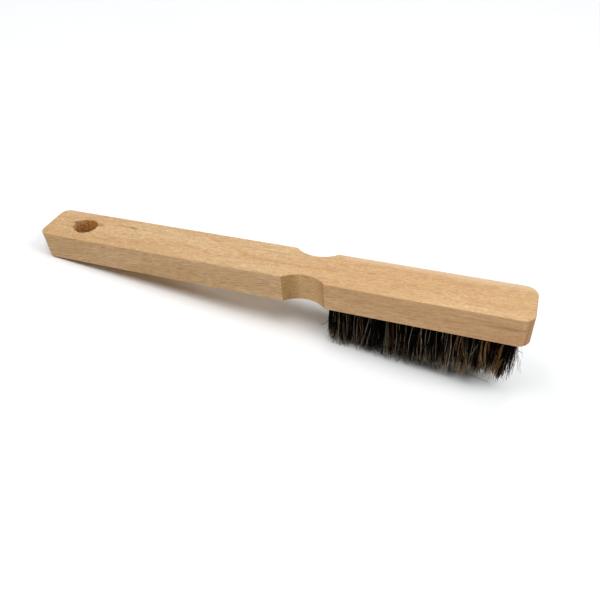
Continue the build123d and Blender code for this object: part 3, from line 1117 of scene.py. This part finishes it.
# lone fibres, by (row, tuft): radius, root colour, tip colour, points x, y, z
STRAYS = {
    # at the neck end: one bent out towards the handle and two short pale ones
    (FRONT, 0): [
        (0.155, STRAY_BLACK, STRAY_BLACK, [
            (38.0, -8.0, 31.0), (37.9, -8.4, 25.1), (37.0, -9, 19.6), (35.0, -9.2, 16.5),
            (32.2, -9.2, 14.3)]),
        (0.075, STRAY_GREY, STRAY_PALE, [
            (37.9, -6.4, 31.0), (36.9, -7.6, 27.6), (36.0, -8.4, 24.6), (35.8, -8.6, 21.8)]),
        (0.07, STRAY_GREY, STRAY_PALE, [
            (38.0, -5.4, 31.0), (37.2, -7.2, 27.3), (37.1, -8.6, 23.8), (36.7, -9, 20.8)]),
    ],
    (FRONT, 9): [
        (0.13, STRAY_BLACK, STRAY_BLACK, [
            (103.6, -8.6, 31.0), (104.9, -9.6, 18.3), (106.7, -10.2, 6.6), (109.6, -10.4, 2.6),
            (114.4, -10.6, 1.4), (119.4, -10.8, 0.3)]),
    ],
    (FRONT, 10): [
        (0.11, srgb(92, 84, 74), STRAY_PALE, [
            (112.6, -8.6, 31.0), (111.2, -9.6, 25.7), (109.5, -10.6, 20.2),
            (107.7, -10.9, 15.6)]),
    ],
    (FRONT, 12): [
        (0.15, STRAY_CHESTNUT, STRAY_CHESTNUT, [
            (126.2, -8.6, 31.0), (124.4, -9.6, 22.2), (120.2, -10.4, 12.4), (116.4, -10.6, 4.6)]),
        (0.15, STRAY_CHESTNUT, STRAY_CHESTNUT, [
            (126.0, -8.2, 31.0), (123.9, -9.6, 20.2), (119.3, -10.6, 9.5), (117.9, -10.8, 1.7)]),
        (0.15, STRAY_CHESTNUT, STRAY_CHESTNUT, [
            (125.6, -8.4, 31.0), (123.7, -9.6, 20.2), (120.9, -10.6, 9.5), (120.5, -10.8, 2.3)]),
        (0.14, srgb(140, 84, 44), STRAY_CHESTNUT, [
            (126.4, -8.0, 31.0), (124.6, -9.6, 21.2), (121.7, -10.6, 11.4), (121.7, -10.8, 1.9)]),
        (0.15, srgb(52, 56, 56), srgb(60, 64, 64), [
            (126.4, -7.0, 31.0), (127.6, -9.0, 24.6), (129.2, -9.0, 23.2), (130.7, -9.0, 22.4)]),
        (0.17, srgb(104, 62, 42), srgb(112, 76, 56), [
            (126.4, -7.6, 31.0), (127.1, -8.9, 24.5), (128.0, -9.0, 12.4), (128.1, -9.1, 6.9)]),
        (0.16, srgb(104, 62, 42), srgb(96, 60, 44), [
            (126.2, -7.8, 31.0), (126.8, -8.9, 24.0), (126.8, -9.0, 16.4), (126.8, -9.1, 12.0)]),
        (0.14, srgb(88, 54, 38), srgb(104, 80, 64), [
            (126.3, -7.7, 31.0), (127.0, -8.9, 24.2), (127.5, -9.0, 14.0), (127.2, -9.1, 8.4)]),
        (0.13, srgb(150, 148, 128), srgb(176, 172, 150), [
            (126.6, -6.8, 31.0), (128.2, -9.0, 21.6), (130.3, -9.0, 15.5), (131.9, -9.0, 8.8)]),
        (0.10, srgb(126, 120, 104), srgb(168, 162, 146), [
            (126.5, -6.9, 31.0), (128.0, -9.0, 22.4), (129.6, -9.0, 15.0), (131.2, -9.1, 9.6)]),
        (0.10, srgb(120, 118, 104), srgb(150, 148, 130), [
            (126.5, -7.0, 31.0), (127.9, -9.0, 22.6), (130.4, -9.0, 17.6), (130.9, -9.1, 13.8)]),
        (0.12, srgb(60, 46, 34), srgb(110, 92, 74), [
            (126.0, -8.0, 31.0), (126.5, -9.1, 18.0), (126.6, -9.2, 11.0), (127.0, -9.3, 6.6)]),
    ],
    (MIDDLE, 11): [
        (0.15, STRAY_RED, STRAY_RED, [
            (122.8, 0.6, 31.0), (125.3, 0.4, 24.1), (127.5, 0.2, 15.3), (128.1, 0, 7.5),
            (127.6, 0, 0.1)]),
        (0.15, STRAY_RED, STRAY_RED, [
            (122.6, 1.0, 31.0), (124.8, 0.8, 24.1), (126.9, 0.4, 15.3), (126.8, 0.2, 7.5),
            (126.2, 0, 1.6)]),
    ],
    (REAR, 12): [
        (0.10, STRAY_GREY, STRAY_PALE, [
            (126.4, 6.6, 31.0), (127.6, 4.6, 24.1), (129.0, 2, 15.3), (130.0, 0.6, 8.4),
            (131.0, 0, 0.1)]),
        (0.13, STRAY_RED, STRAY_RED, [
            (126.2, 6.2, 31.0), (127.8, 4, 24.1), (128.8, 1.6, 14.3), (129.2, 0.4, 8.4),
            (128.8, 0, 1.2)]),
        (0.13, srgb(130, 76, 56), STRAY_RED, [
            (126.0, 6.0, 31.0), (127.4, 3.6, 24.1), (128.4, 1.2, 15.3), (128.7, 0.2, 8.4),
            (127.8, 0, 0.6)]),
        (0.085, STRAY_GREY, STRAY_PALE, [
            (126.6, 6.8, 31.0), (128.4, 4, 22.1), (130.6, 1.8, 14.3), (132.1, 0.6, 9.4)]),
    ],
}


def strand(rng, count, shade, points):
    """A few fibres lying together, parting a little towards their tips."""
    fibres = []
    for i in range(count):
        offset = (i - (count - 1) / 2) * 0.30 + rng.normal(0, 0.03)
        part = rng.normal(0, 0.16)
        moved = []
        for k, (x, y, z) in enumerate(points):
            along = k / (len(points) - 1)
            moved.append((x + offset * (0.6 + 0.6 * along) + part * along,
                          y + rng.normal(0, 0.05), z))
        x, y, z = moved[-1]
        moved[-1] = (x, y, z - rng.uniform(0.0, 0.9))
        tone = rng.lognormal(0, 0.10)
        root, tip = SHADES[shade]
        fibres.append(single(moved, rng.uniform(0.135, 0.165), toned(root, tone),
                             toned(tip, tone)))
    return fibres


def bleached_fibre(rng, tuft_x):
    """A long fibre with a sun-bleached end, lying over the front of its tuft."""
    root_x = tuft_x + rng.uniform(-2.0, 2.0)
    low_x = root_x + rng.uniform(-0.9, 0.9)
    tip_x = low_x + rng.normal(0, 1.1)
    tone = rng.lognormal(0, 0.16)
    points = [
        (root_x, -8.3, 31.0), (root_x * 0.6 + low_x * 0.4, -9.2, 23.0),
        (low_x, -9.8, 12.0 + rng.uniform(-2, 2)),
        (tip_x, -10.1 + rng.normal(0, 0.3), rng.uniform(-0.8, 5.0)),
    ]
    thick = rng.uniform(0.115, 0.150)
    tip = BLEACHED_TIPS[rng.integers(3)]
    return single(points, thick, toned(BLEACHED_ROOT, tone), toned(tip, tone), late=1.9)


def front_fibres(index, tuft_x):
    rng = np.random.default_rng([77, index])
    groups = []
    for count, shade, points in STRANDS.get(index, []):
        groups += strand(rng, count, shade, points)
    for _ in range(FRONT_BLEACHED[index]):
        groups.append(bleached_fibre(rng, tuft_x))
    return groups


def build_tufts():
    for row, row_name in enumerate(ROW_NAMES):
        for index, node in enumerate(TUFT_NODES[row_name]):
            lo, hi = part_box(node)
            x, y = (lo.x + hi.x) / 2 / MM, (lo.y + hi.y) / 2 / MM
            groups = [Tuft(row, index, x, y).fibres()]
            for thick, root, tip, points in STRAYS.get((row, index), []):
                groups.append(single(points, thick, root, tip))
            if row == FRONT:
                groups += front_fibres(index, x)
            name = "fibres_" + node[5:]
            bundle = link_object(name, bundle_mesh(name, groups))
            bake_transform(bundle)
            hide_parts(node, f"root_bundles_{row_name}")


def finish_anchors():
    for row_name in ROW_NAMES:
        anchors = frame["nodes"][f"anchors_{row_name}"]
        for slot in anchors.material_slots:
            slot.link = "OBJECT"
            slot.material = STEEL
        if not anchors.material_slots:
            anchors.data.materials.append(STEEL)


# ------------------------------------------------------------------ floor (metres from here on)
STAGE_X = 0.03  # the stage is centred on this x
FLOOR_RADIUS, FLOOR_SIDES = 1.3, 64
LIGHT_DISTANCE, LIGHT_SIZE = 2.2, 0.9
LIGHT_TARGET = (STAGE_X, 0.0, 0.03)
# soft boxes: name, bearing from +X and height in degrees, watts
LIGHTS = (
    ("right", 0, 40, 17.0), ("right_high", 0, 65, 8.5), ("front_right", 315, 65, 13.5),
    ("front_left", 225, 65, 10.5), ("left_high", 180, 65, 6.0), ("back", 90, 40, 9.5),
    ("top", 0, 88, 3.5),
)


def floor_material():
    """Pale, clear from below, fading into the white backdrop away from the brush."""
    shader = Shader("floor")
    soft = shader.noise(shader.position, scale=6.0)
    sheet = shader.principled(
        Base_Color=shader.mix(soft, (0.915, 0.930, 0.940), (0.945, 0.955, 0.965)),
        Roughness=0.85, Specular_IOR_Level=0.1)
    clear = shader.value("BsdfTransparent")
    below = shader.value("NewGeometry", output="Backfacing")
    x, y, _ = shader.position.split()
    far = shader.math("SQRT", x * x + y * y)
    gone = shader.maximum(below, far.step(0.55, 1.25))
    return shader.finish(shader.value("MixShader", {0: gone, 1: sheet, 2: clear}))


def build_floor():
    """A disc tilted to meet the leaning brush."""
    angles = [2 * math.pi * i / FLOOR_SIDES for i in range(FLOOR_SIDES)]
    verts = [(FLOOR_RADIUS * math.cos(a), FLOOR_RADIUS * math.sin(a), 0) for a in angles]
    floor = mesh_object("floor", verts, [tuple(range(FLOOR_SIDES))], floor_material(),
                        smooth=False)
    floor.rotation_euler = (0, FLOOR_TILT, 0)
    floor.location = (STAGE_X, 0, floor_z(30.0) * MM)


# ------------------------------------------------------------------ light and camera
def add_light(name, bearing, height, power):
    bearing, height = math.radians(bearing), math.radians(height)
    level = LIGHT_DISTANCE * math.cos(height)
    place = (LIGHT_TARGET[0] + level * math.cos(bearing), level * math.sin(bearing),
             LIGHT_TARGET[2] + LIGHT_DISTANCE * math.sin(height))
    data = bpy.data.lights.new(name, "AREA")
    data.shape, data.size, data.energy = "DISK", LIGHT_SIZE, power
    light = link_object(name, data)
    light.location = place
    aim = Vector(LIGHT_TARGET) - Vector(place)
    light.rotation_euler = aim.to_track_quat("-Z", "Y").to_euler()


def build_world():
    """A faint white fill; the backdrop is full white to the camera only."""
    world = bpy.data.worlds.new("studio")
    world.use_nodes = True
    nodes, links = world.node_tree.nodes, world.node_tree.links
    fill = nodes["Background"]
    backdrop = nodes.new("ShaderNodeBackground")
    for background, strength in ((fill, 0.04), (backdrop, 1.0)):
        background.inputs["Color"].default_value = (1.0, 1.0, 1.0, 1.0)
        background.inputs["Strength"].default_value = strength
    light_path = nodes.new("ShaderNodeLightPath")
    pick = nodes.new("ShaderNodeMixShader")
    links.new(light_path.outputs["Is Camera Ray"], pick.inputs[0])
    links.new(fill.outputs[0], pick.inputs[1])
    links.new(backdrop.outputs[0], pick.inputs[2])
    links.new(pick.outputs[0], nodes["World Output"].inputs["Surface"])
    bpy.context.scene.world = world


def build_camera():
    """In front of the handle's side of the head, looking down to the brush."""
    data = bpy.data.cameras.new("camera")
    camera = link_object("camera", data)
    data.sensor_width = 36.0
    data.lens = 36.1086
    data.clip_start, data.clip_end = 0.01, 20.0
    right = Vector((0.93735797, 0.34289199, -0.06152328)).normalized()
    up = Vector((-0.18149850, 0.63142679, 0.75389555)).normalized()
    backward = Vector((0.29735219, -0.69550362, 0.65410732)).normalized()
    turn = Matrix((right, up, backward)).transposed()
    place = Vector((0.11243, -0.22097, 0.22817))
    camera.matrix_world = Matrix.Translation(place) @ turn.to_4x4()
    bpy.context.scene.camera = camera


build_block()
build_tufts()
finish_anchors()
build_floor()
for light_row in LIGHTS:
    add_light(*light_row)
build_world()
bpy.context.scene.view_settings.view_transform = "Standard"
bpy.context.scene.view_settings.look = "None"
build_camera()
